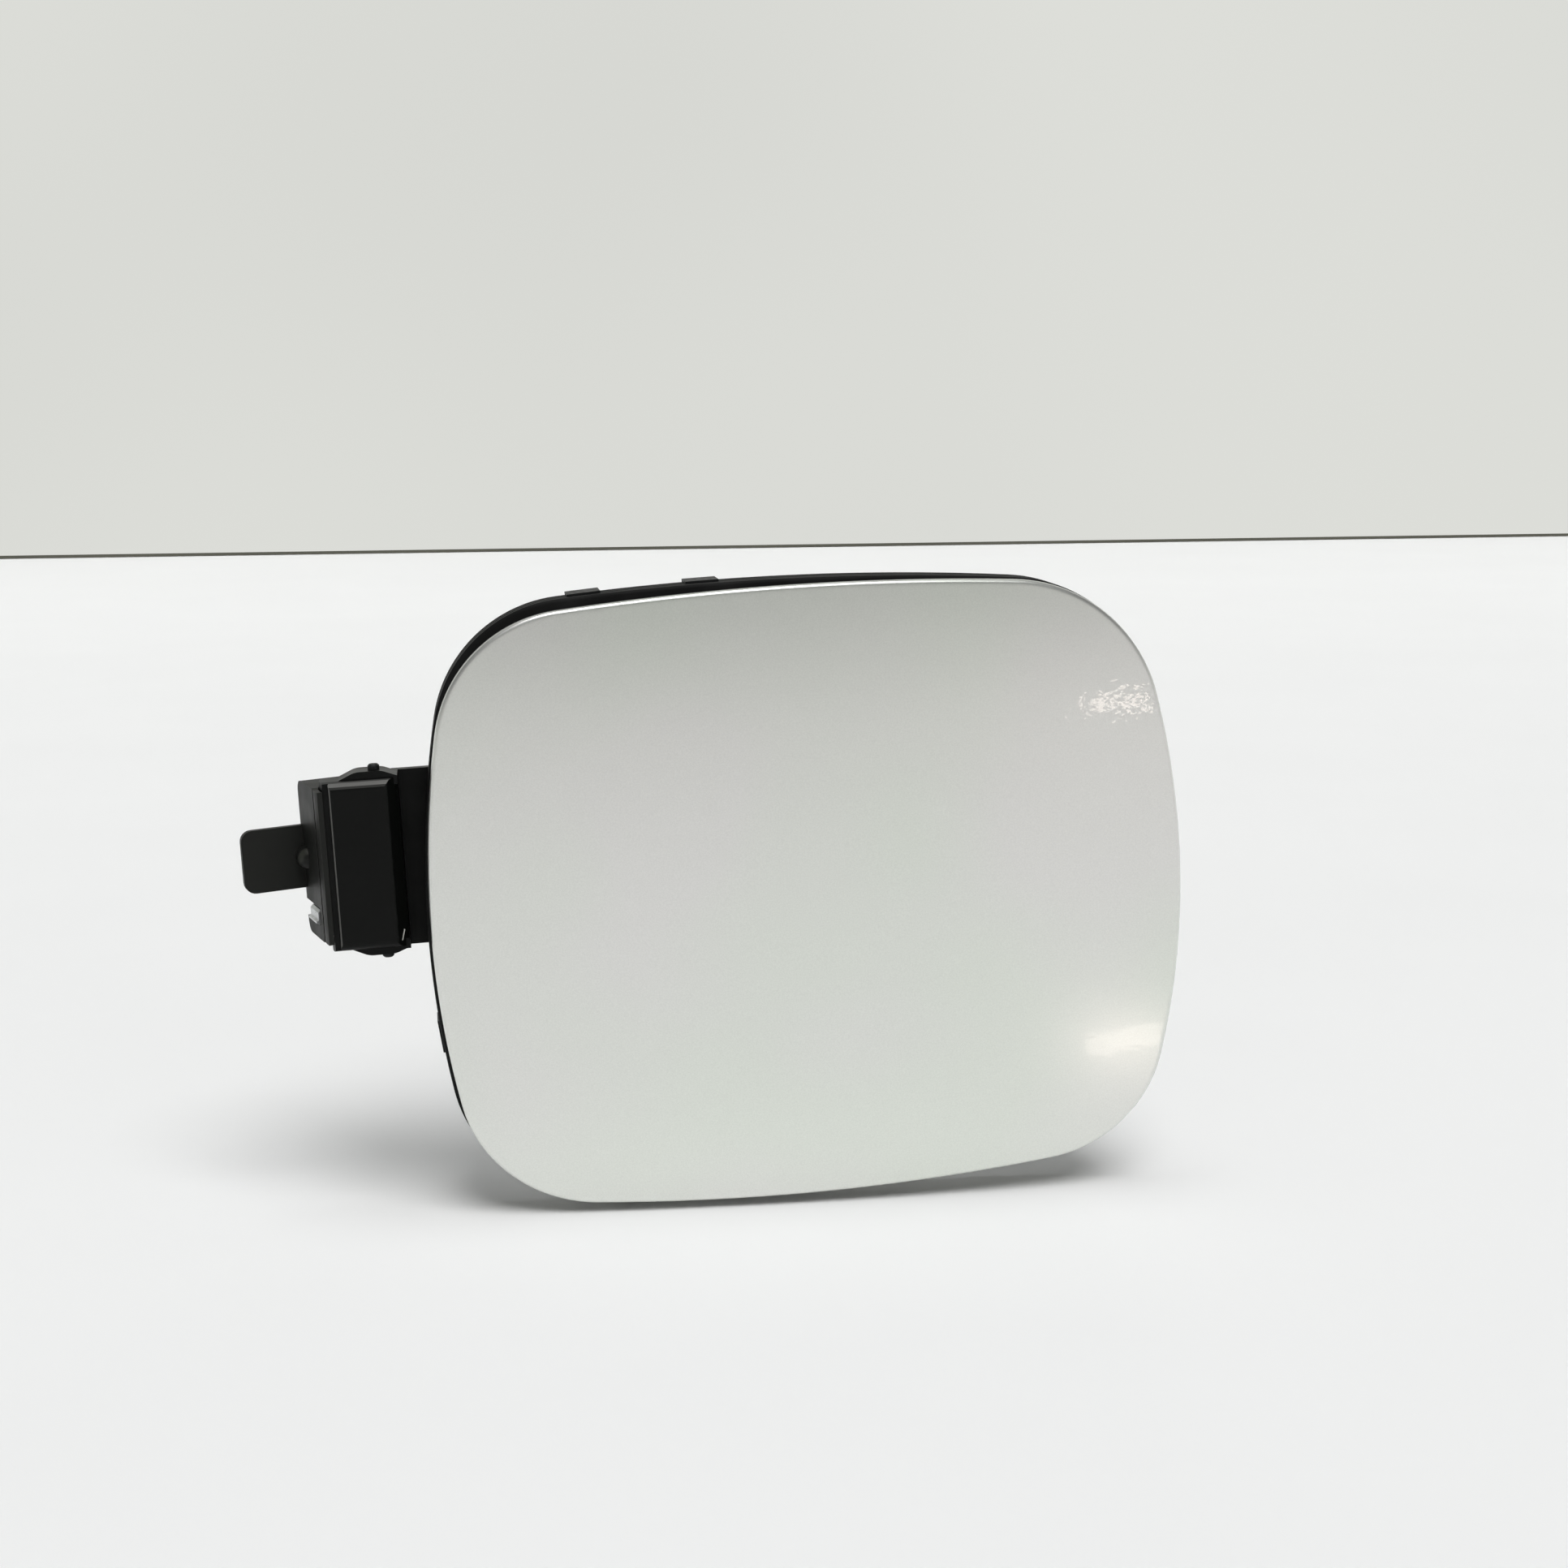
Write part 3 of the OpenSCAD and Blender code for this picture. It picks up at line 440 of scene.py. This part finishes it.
def plated_steel(name, base, rough, metal):
    """Cold-formed or drawn steel, zinc plated or phosphated: fine drawing lines and slightly dull patches."""
    made, tree, end, place = new_material(name)
    # Drawing lines run round each part, 0.15 mm apart
    stretch = add_node(tree, "ShaderNodeMapping", {"Vector": place})
    stretch.inputs["Scale"].default_value = (1, 1, 8)
    lines = noise(tree, stretch.outputs[0], 1.2, 3.0)
    dull = spread(tree, lines, rough - 0.08, rough + 0.1)
    bump = relief(tree, lines, 0.3, 0.01)
    tone = tone_between(tree, noise(tree, place, 4, 2.0), 0.3, scaled(base, 0.82), 0.7, base)
    links = {"Base Color": tone.outputs["Color"], "Roughness": dull, "Normal": bump}
    surface(tree, end, links, Metallic=metal)
    return made


def natural_acetal():
    """Acetal bush, injection moulded and uncoloured: waxy off-white with a soft gloss."""
    made, tree, end, place = new_material("natural_acetal_moulded")
    base = colours().acetal
    tone = tone_between(tree, noise(tree, place, 5, 2.0), 0, scaled(base, 0.93), 1, base)
    surface(tree, end, {"Base Color": tone.outputs["Color"]}, Roughness=0.35, IOR=1.48)
    return made


def cut_foam():
    """Closed-cell polyethylene foam, cut from sheet: 0.5 mm cells open on its faces."""
    made, tree, end, place = new_material("closed_cell_foam_cut")
    cells = add_node(tree, "ShaderNodeTexVoronoi", {"Vector": place}, Scale=per_mm(0.5)).outputs["Distance"]
    bump = relief(tree, cells, 0.8, 0.2)
    base = colours().foam
    tone = tone_between(tree, cells, 0, scaled(base, 0.6), 1, base)
    surface(tree, end, {"Base Color": tone.outputs["Color"], "Normal": bump}, Roughness=0.85)
    return made


def dress(material, *nodes):
    """Gives CAD nodes a material."""
    for name in nodes:
        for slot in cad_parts[name].material_slots:
            slot.material = material


def ease_edges(name, width):
    """Rounds a moulding's sharp edges, as its mould does."""
    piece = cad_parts[name]
    ease = piece.modifiers.new("mould_radius", "BEVEL")
    ease.width = width
    ease.segments = 3
    ease.limit_method = "ANGLE"
    ease.angle_limit = math.radians(40)
    ease.use_clamp_overlap = True


# Pieces


class PaintedSkin(bpy.types.Operator):
    """Crowned painted panel with its rounded rim and folded hem"""

    bl_idname = "fuel_door.painted_skin"
    bl_label = "Painted skin"

    def execute(self, context):
        p = sizes()
        places = stations()

        def ring(inset, depth):
            return [in_row(v, fall(v) + depth) for v in outline(places, inset)]

        # The face's middle is the core outline shrunk in steps, and its border is the outline moved inwards
        border = 12 * MM
        core = outline(places, border)
        out_from_middle = (0.02, 0.08, 0.16, 0.25, 0.35, 0.45, 0.55, 0.65, 0.75, 0.84, 0.92, 1)
        rings = [[in_row(v * k, fall(v * k)) for v in core] for k in out_from_middle]
        rings += [ring(inset * MM, 0) for inset in (10, 8, 6, 4.5, 3.2, 2.3, 1.6)]
        rim_steps = 8
        for k in range(rim_steps + 1):
            turn = math.pi / 2 * k / rim_steps
            rings.append(ring(p.rim_radius * (1 - math.sin(turn)), p.rim_radius * (1 - math.cos(turn))))
        fold_steps = 4
        for k in range(fold_steps + 1):
            turn = math.pi / 2 * k / fold_steps
            inset = p.fold_radius * (1 - math.cos(turn))
            rings.append(ring(inset, p.rim_depth - p.fold_radius * (1 - math.sin(turn))))
        # The hem and its cut edge, then the step down to the sheet's back
        hem_middle, burr, step = 4 * MM, 0.4 * MM, 0.3 * MM
        rings += [
            ring(hem_middle, p.rim_depth),
            ring(p.hem - burr, p.rim_depth),
            ring(p.hem, p.rim_depth - burr),
            ring(p.hem, p.skin + step),
            ring(p.hem + step, p.skin),
        ]
        back_to_middle = (1, 0.85, 0.7, 0.55, 0.4, 0.25, 0.1, 0.02)
        rings += [[in_row(v * k, fall(v * k) + p.skin) for v in core] for k in back_to_middle]
        piece = lofted("painted_skin", rings, False)
        piece.data.materials.append(clearcoat_paint())
        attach(piece, "door_side")
        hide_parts("outer_skin")
        return {"FINISHED"}


class FrameSeal(bpy.types.Operator):
    """Rubber seal that follows the panel's edge behind its rim"""

    bl_idname = "fuel_door.frame_seal"
    bl_label = "Frame seal"

    def execute(self, context):
        p = sizes()
        places = stations()
        front = p.rim_depth + p.seal_play
        plate = p.plate_depth - p.seal_play
        back = p.seal_depth

        def on_face(inset, behind):
            return [in_row(v, fall(v) + front + behind) for v in askew(outline(places, inset))]

        def level(inset, depth):
            return [in_row(v, depth) for v in askew(outline(places, inset))]

        # Front face under the hem, its edge rounded to the side
        rounding = ((0.9, 0), (0.35, 0.1), (0.05, 0.4), (0, 0.9))
        rings = [on_face(p.seal_lip, 0)]
        rings += [on_face(inset * MM, behind * MM) for inset, behind in rounding]
        # Two shallow grooves run round the side, at these shares of the way from the plate to the back
        for share in (0.24, 0.6):
            depth = plate + (back - plate) * share
            for inset, off in ((0, -0.5), (0.3, -0.2), (0.3, 0.2), (0, 0.5)):
                rings.append(level(inset * MM, depth + off * MM))
        # Back edge, rounded the same way, then the inner side and the lip against the carrier
        rounding = ((0, 1.1), (0.15, 0.5), (0.6, 0.1), (1.1, 0))
        rings += [level(inset * MM, back - short * MM) for inset, short in rounding]
        rings += [level(p.seal_wall, back), level(p.seal_wall, plate), level(p.seal_lip, plate)]
        piece = lofted("frame_seal", rings, True)
        piece.data.materials.append(carbon_black_rubber("epdm_rubber_extruded", 0.6))
        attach(piece, "door_side")
        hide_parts("edge_seal")
        return {"FINISHED"}


class HingeMouldings(bpy.types.Operator):
    """Finish of the gooseneck arm and of the hinge base"""

    bl_idname = "fuel_door.hinge_mouldings"
    bl_label = "Hinge arm and base"

    def execute(self, context):
        # A short white scratch low on the arm's corner
        scratch = ((0.0212, -0.0104, -0.0165), (0.0206, -0.0112, -0.0187), 0.22 * MM, "B9B9B4")
        # The arm's 5A5A58 and the base's 32332F are painted highlights on the edges that look up or left.
        nylon = moulded_plastic(
            "glass_filled_nylon_moulded", colours().black, 0.45, 0.012, 0.38, 0.12, "5A5A58", [scratch]
        )
        acetal = moulded_plastic("black_acetal_moulded", colours().base, 0.8, 0.004, 0.5, 0.14, "32332F")
        dress(nylon, "hinge_arm")
        dress(acetal, "hinge_base")
        ease_edges("hinge_arm", 0.6 * MM)
        ease_edges("hinge_base", 0.35 * MM)
        return {"FINISHED"}


class SteelFittings(bpy.types.Operator):
    """Finish of the pin, screws and clips"""

    bl_idname = "fuel_door.steel_fittings"
    bl_label = "Steel fittings"

    def execute(self, context):
        plated = plated_steel("drawn_steel_zinc_plated", colours().zinc, 0.32, 1.0)
        dress(plated, "retaining_clip", "arm_screws", "striker_screws")
        phosphated = plated_steel("spring_steel_black_phosphated", colours().phosphate, 0.5, 0.6)
        dress(phosphated, "hinge_pin", "edge_clips")
        return {"FINISHED"}


class ReturnSpring(bpy.types.Operator):
    """Wire torsion spring, copied from its CAD part with a zinc-plated finish"""

    bl_idname = "fuel_door.return_spring"
    bl_label = "Return spring"

    def execute(self, context):
        wire = bpy.data.objects.new("return_spring_wire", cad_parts["return_spring"].data.copy())
        context.scene.collection.objects.link(wire)
        wire.data.materials.clear()
        wire.data.materials.append(plated_steel("spring_wire_zinc_plated", colours().zinc, 0.32, 1.0))
        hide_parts("return_spring")
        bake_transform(wire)
        return {"FINISHED"}


class InnerFittings(bpy.types.Operator):
    """Finish of the carrier, striker, bushes, stops and pads"""

    bl_idname = "fuel_door.inner_fittings"
    bl_label = "Carrier and small mouldings"

    def execute(self, context):
        talc = moulded_plastic("talc_filled_polypropylene_moulded", colours().carrier, 0.9, 0.03, 0.52, 0.4)
        dress(talc, "inner_carrier", "latch_striker")
        bump_stops = [f"bump_stop_{k}" for k in (1, 2, 3, 4)]
        dress(carbon_black_rubber("nitrile_rubber_moulded", 0.4), "stop_buffer", *bump_stops)
        dress(natural_acetal(), "bush_upper", "bush_lower")
        dress(cut_foam(), "foam_pads")
        ease_edges("inner_carrier", 0.25 * MM)
        ease_edges("latch_striker", 0.35 * MM)
        return {"FINISHED"}


# Camera: the door stands tipped towards its hinge, so the table and the level camera are tipped against it

TIP = math.radians(2.94)
CAMERA_ASIDE = math.radians(8)
CAMERA_DOWN = math.radians(10)
EYE = Vector((0.034225, -0.579256, 0.113034))
FIELD = math.radians(36)
FRAME_PX = 1932
# Pixels where the wall's foot meets the picture's left and right side
WALL_FOOT_LEFT_PX = (0, 688)
WALL_FOOT_RIGHT_PX = (FRAME_PX, 660)
# Drop of the table below the panel's lowest point
TABLE_GAP = 2.2 * MM


def camera_ways():
    """Right, up and ahead of the picture's camera."""
    side, front = math.sin(CAMERA_ASIDE), math.cos(CAMERA_ASIDE)
    down, level = math.sin(CAMERA_DOWN), math.cos(CAMERA_DOWN)
    right = Vector((front, -side, 0))
    up = Vector((side * down, front * down, level))
    ahead = Vector((side * level, front * level, -down))
    tip = Quaternion(ahead, TIP)
    return tip @ right, tip @ up, ahead


def sight(px, py):
    """Direction from the camera through a pixel of the picture."""
    right, up, ahead = camera_ways()
    reach = FRAME_PX / 2 / math.tan(FIELD / 2)
    return (ahead * reach + right * (px - FRAME_PX / 2) - up * (py - FRAME_PX / 2)).normalized()


def table_plane():
    """A point of the table, below the panel's lowest point, and the table's upward normal."""
    p = sizes()
    radius = bow_radius(p.width, p.bow_bottom)
    lowest = Vector((-radius * math.sin(TIP), radius - p.height / 2 - radius * math.cos(TIP)))
    behind_front = 4 * MM
    point = Vector(in_row(lowest, behind_front)) - Vector((0, 0, TABLE_GAP))
    return point, Vector((math.sin(TIP), 0, math.cos(TIP)))


# Studio


def flat_sheet(name, corners, material):
    """A plain rectangle of the studio."""
    mesh = bpy.data.meshes.new(name)
    mesh.from_pydata(corners, [], [tuple(range(len(corners)))])
    piece = bpy.data.objects.new(name, mesh)
    bpy.context.scene.collection.objects.link(piece)
    mesh.materials.append(material)
    return piece


def laminate():
    """White laminate table top: even white, very faintly clouded, with a dull gloss."""
    made, tree, end, place = new_material("white_laminate_pressed")
    base = colours().table
    cloud = add_node(tree, "ShaderNodeTexNoise", {"Vector": place}, Scale=6.0, Detail=2.0).outputs["Fac"]
    tone = tone_between(tree, cloud, 0.3, scaled(base, 0.985), 0.7, base)
    surface(tree, end, {"Base Color": tone.outputs["Color"]}, Roughness=0.5, Specular_IOR_Level=0.2)
    return made


def painted_wall():
    """Pale emulsion on a smooth wall, shown at its own colour."""
    made, tree, end, place = new_material("pale_emulsion_rolled")
    base = colours().wall
    cloud = add_node(tree, "ShaderNodeTexNoise", {"Vector": place}, Scale=0.9, Detail=1.0).outputs["Fac"]
    tone = tone_between(tree, cloud, 0.25, scaled(base, 0.93), 0.75, scaled(base, 1.03))
    plain = add_node(tree, "ShaderNodeBsdfDiffuse", Color=rgba(hex_colour("B4B5B1")))
    shown = add_node(tree, "ShaderNodeEmission", {"Color": tone.outputs["Color"]}, Strength=1.0)
    ray = add_node(tree, "ShaderNodeLightPath")
    seen = ray.outputs["Is Camera Ray"]
    for kind in ("Is Glossy Ray", "Is Transmission Ray"):
        either = {0: seen, 1: ray.outputs[kind]}
        seen = add_node(tree, "ShaderNodeMath", either, operation="MAXIMUM").outputs[0]
    mixed = add_node(tree, "ShaderNodeMixShader", {0: seen, 1: plain.outputs[0], 2: shown.outputs[0]})
    tree.links.new(mixed.outputs[0], end.inputs[0])
    return made


def shadow_gap():
    """A dark sheet that paints the shadow line between the table and the wall."""
    made, tree, end, _ = new_material("painted_shadow_line_dark")
    # Painted shadow: 5A5A52 stands in for the shade in the gap between table and wall.
    dark = add_node(tree, "ShaderNodeBsdfDiffuse", Color=rgba(hex_colour("5A5A52")))
    tree.links.new(dark.outputs[0], end.inputs[0])
    return made


def soft_room(world):
    """A room: pale up to the table's height, dimmer above, and plain pale grey where the camera sees it."""
    world.use_nodes = True
    tree = world.node_tree
    tree.nodes.clear()
    end = add_node(tree, "ShaderNodeOutputWorld")
    way = add_node(tree, "ShaderNodeTexCoord").outputs["Generated"]
    rise = add_node(tree, "ShaderNodeSeparateXYZ", {"Vector": way}).outputs["Z"]
    tone = tone_between(tree, rise, 0.05, hex_colour("EDEDEA"), 0.5, hex_colour("4C4D4E"))
    tone.color_ramp.elements.new(0.2).color = rgba(hex_colour("A2A39F"))
    lit = add_node(tree, "ShaderNodeBackground", {"Color": tone.outputs["Color"]}, Strength=1.0)
    shown = add_node(tree, "ShaderNodeBackground", Color=rgba(hex_colour("DCDDD8")), Strength=1.0)
    ray = add_node(tree, "ShaderNodeLightPath")
    mixed = add_node(
        tree, "ShaderNodeMixShader", {0: ray.outputs["Is Camera Ray"], 1: lit.outputs[0], 2: shown.outputs[0]}
    )
    tree.links.new(mixed.outputs[0], end.inputs[0])


def lamp(name, kind, place, target, energy, code, **settings):
    """A lamp at a place, aimed at a target."""
    data = bpy.data.lights.new(name, kind)
    data.energy = energy
    data.color = hex_colour(code)
    for key, value in settings.items():
        setattr(data, key, value)
    made = bpy.data.objects.new(name, data)
    made.location = place
    made.rotation_mode = "QUATERNION"
    made.rotation_quaternion = (Vector(target) - Vector(place)).to_track_quat("-Z", "Y")
    bpy.context.scene.collection.objects.link(made)
    return made


def soft_sun(name, place, energy, code, degrees):
    """Broad light over the whole table, which no gloss shows."""
    middle = (0.12, 0, 0)
    made = lamp(name, "SUN", place, middle, energy, code, angle=math.radians(degrees))
    made.visible_glossy = False


def mirrored_card(name, place, target, energy, code, width, height):
    """A lit rectangle that only gloss shows."""
    shape = {"shape": "RECTANGLE", "size": width, "size_y": height}
    made = lamp(name, "AREA", place, target, energy, code, **shape)
    made.visible_diffuse = False
    made.visible_camera = False
    return made


def light_table():
    """Lamps over the table."""
    soft_sun("ceiling_light", (0.12, -0.06, 1.2), 0.6, "FDFEFF", 25)
    soft_sun("front_light", (0.26, -0.45, 0.75), 2.3, "FFFEFE", 34)
    # For the gloss of the mouldings and of the top rim
    mirrored_card("ceiling_panel", (0.1, -0.35, 1.3), (0.1, 0, 0), 9.0, "FFFFFF", 0.8, 0.8)
    # Two lit things that the clearcoat mirrors near the latch edge
    warm = "FFEFE4"
    upper, lower = Vector((0.1964, -0.0153, 0.0264)), Vector((0.1957, -0.0153, -0.0585))
    far, near = Vector((0.409, -0.912, 0.018)) * 1.2, Vector((0.389, -0.81, -0.438)) * 0.066
    mirrored_card("strip_mirrored_high", upper + far, upper, 0.045, warm, 0.088, 0.024)
    low_card = mirrored_card("strip_mirrored_low", lower + near, lower, 0.0012, warm, 0.024, 0.0075)
    low_card.rotation_quaternion @= Quaternion((0, 0, 1), math.radians(12))


def picture_camera():
    """The camera that takes the picture."""
    data = bpy.data.cameras.new("picture_camera")
    data.sensor_fit = "HORIZONTAL"
    data.angle = FIELD
    data.clip_start, data.clip_end = 0.01, 50
    made = bpy.data.objects.new("picture_camera", data)
    right, up, ahead = camera_ways()
    made.matrix_world = Matrix.Translation(EYE) @ Matrix((right, up, -ahead)).transposed().to_4x4()
    bpy.context.scene.collection.objects.link(made)
    return made


class PaleStudio(bpy.types.Operator):
    """Table, wall, lamps and the picture's camera"""

    bl_idname = "fuel_door.pale_studio"
    bl_label = "Studio and camera"

    def execute(self, context):
        table_point, up = table_plane()

        def on_table(px, py):
            way = sight(px, py)
            return EYE + way * ((table_point - EYE).dot(up) / way.dot(up))

        # The wall meets the table along the line seen in the picture
        left, right = on_table(*WALL_FOOT_LEFT_PX), on_table(*WALL_FOOT_RIGHT_PX)
        along = (right - left).normalized()
        near = along.cross(up).normalized()
        if near.dot(EYE - left) < 0:
            near = -near
        # Metres that table and wall reach past the picture, towards the camera and upwards
        past, towards, tall = 3, 7, 4
        a, b = left - along * past, right + along * past
        flat_sheet("table_top", [a, b, b + near * towards, a + near * towards], laminate())
        flat_sheet("wall", [a, b, b + up * tall, a + up * tall], painted_wall())
        # The painted shadow line is a dark strip that leans from the table to the wall
        foot, head = near * 0.012 + up * 0.0004, near * 0.001 + up * 0.003
        flat_sheet("painted_shadow_strip", [a + foot, b + foot, b + head, a + head], shadow_gap())

        scene = context.scene
        scene.world = scene.world or bpy.data.worlds.new("room")
        soft_room(scene.world)
        light_table()
        scene.camera = picture_camera()
        scene.view_settings.view_transform = "Standard"
        return {"FINISHED"}


class FuelDoorPanel(bpy.types.Panel):
    """Sidebar panel that lists the door's pieces"""

    bl_idname = "VIEW3D_PT_fuel_door"
    bl_label = "Fuel door"
    bl_space_type = "VIEW_3D"
    bl_region_type = "UI"
    bl_category = "Fuel door"

    def draw(self, context):
        for group in (context.scene.fuel_door_sizes, context.scene.fuel_door_colours):
            box = self.layout.box()
            for key in group.__annotations__:
                box.prop(group, key)
        for step in STEPS:
            self.layout.operator(step.bl_idname)


STEPS = (PaintedSkin, FrameSeal, HingeMouldings, SteelFittings, ReturnSpring, InnerFittings, PaleStudio)
CLASSES = (FuelDoorSizes, FuelDoorColours, *STEPS, FuelDoorPanel)


def register():
    for kind in CLASSES:
        bpy.utils.register_class(kind)
    bpy.types.Scene.fuel_door_sizes = PointerProperty(type=FuelDoorSizes)
    bpy.types.Scene.fuel_door_colours = PointerProperty(type=FuelDoorColours)


def unregister():
    del bpy.types.Scene.fuel_door_sizes
    del bpy.types.Scene.fuel_door_colours
    for kind in reversed(CLASSES):
        bpy.utils.unregister_class(kind)


def main():
    register()
    for step in STEPS:
        group, name = step.bl_idname.split(".")
        getattr(getattr(bpy.ops, group), name)()


if __name__ == "__main__":
    main()
